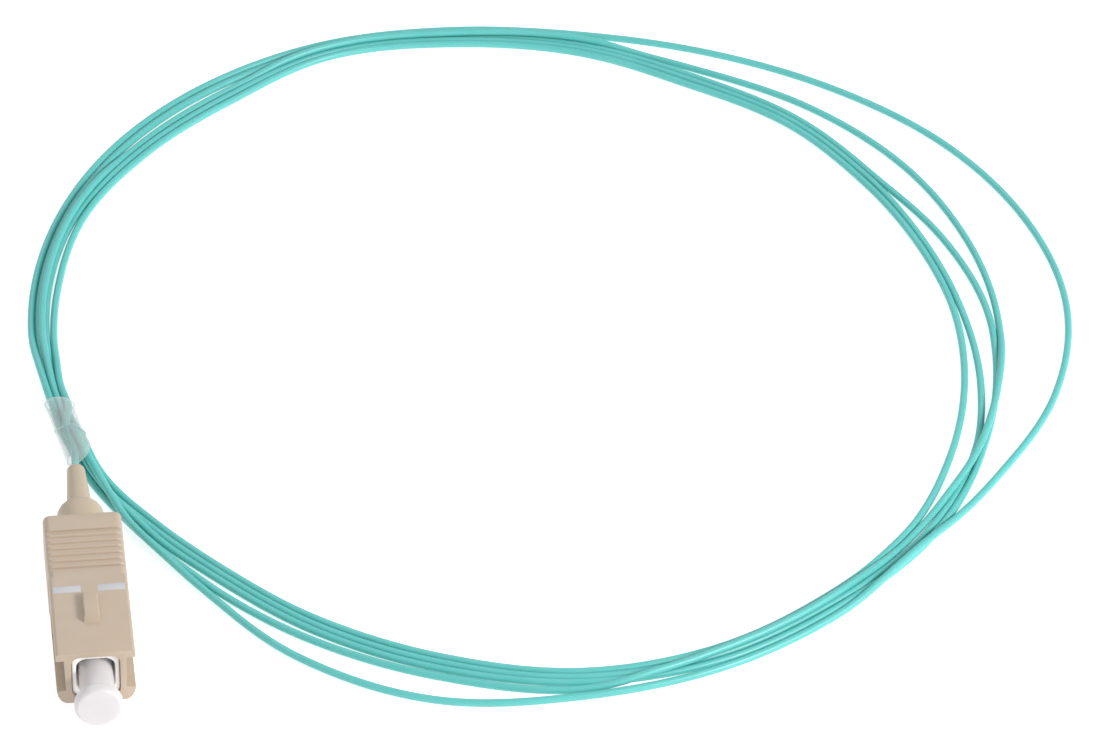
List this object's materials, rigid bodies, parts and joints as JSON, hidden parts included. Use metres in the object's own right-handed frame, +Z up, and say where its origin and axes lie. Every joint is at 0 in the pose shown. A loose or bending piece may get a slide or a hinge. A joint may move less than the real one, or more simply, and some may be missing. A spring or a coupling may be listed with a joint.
{
  "type": "fibre optic pigtail",
  "caption": "Square push-pull fibre connector with boot and dust cap, on a long thin buffered fibre laid in a loose round coil and held by a short clear tie sleeve",
  "frame": {"origin": "On the table, under the middle of the grip housing", "axes": "+Y runs from the mating end to the boot, +Z is up through the key, +X is to the right seen from the mating end towards the boot"},
  "size_m": [0.1296, 0.1306, 0.0082],
  "materials": {
    "housing_beige": "moulded beige thermoplastic, fine satin",
    "frame_white": "moulded white thermoplastic",
    "boot_beige": "soft moulded elastomer",
    "ferrule_ceramic": "polished white ceramic",
    "plated_metal": "nickel plated, turned",
    "spring_steel": "drawn wire",
    "cap_white": "milky polyethylene",
    "fibre_aqua": "smooth extruded buffer",
    "sleeve_clear": "clear flexible plastic"
  },
  "bodies": {
    "core": {"plug_frame": "frame_white", "stop_ring": "plated_metal", "boot": "boot_beige", "ferrule_spring": "spring_steel", "fibre_lead": "fibre_aqua", "fibre_coil": "fibre_aqua", "fibre_outer_loop": "fibre_aqua", "fibre_lower_loop": "fibre_aqua", "tie_sleeve": "sleeve_clear"},
    "grip": {"grip_housing": "housing_beige"},
    "ferrule_body": {"ferrule": "ferrule_ceramic", "ferrule_flange": "plated_metal"},
    "cap": {"dust_cap": "cap_white"}
  },
  "joints": [
    {"name": "grip_slide", "type": "slide", "parent": "core", "child": "grip", "axis": [0, 1, 0], "range_m": [0, 0.002]},
    {"name": "ferrule_retract", "type": "slide", "parent": "core", "child": "ferrule_body", "axis": [0, 1, 0], "range_m": [0, 0.001], "deforming": ["ferrule_spring"]},
    {"name": "cap_pull", "type": "slide", "parent": "ferrule_body", "child": "cap", "axis": [0, -1, 0], "range_m": [0, 0.012]}
  ]
}
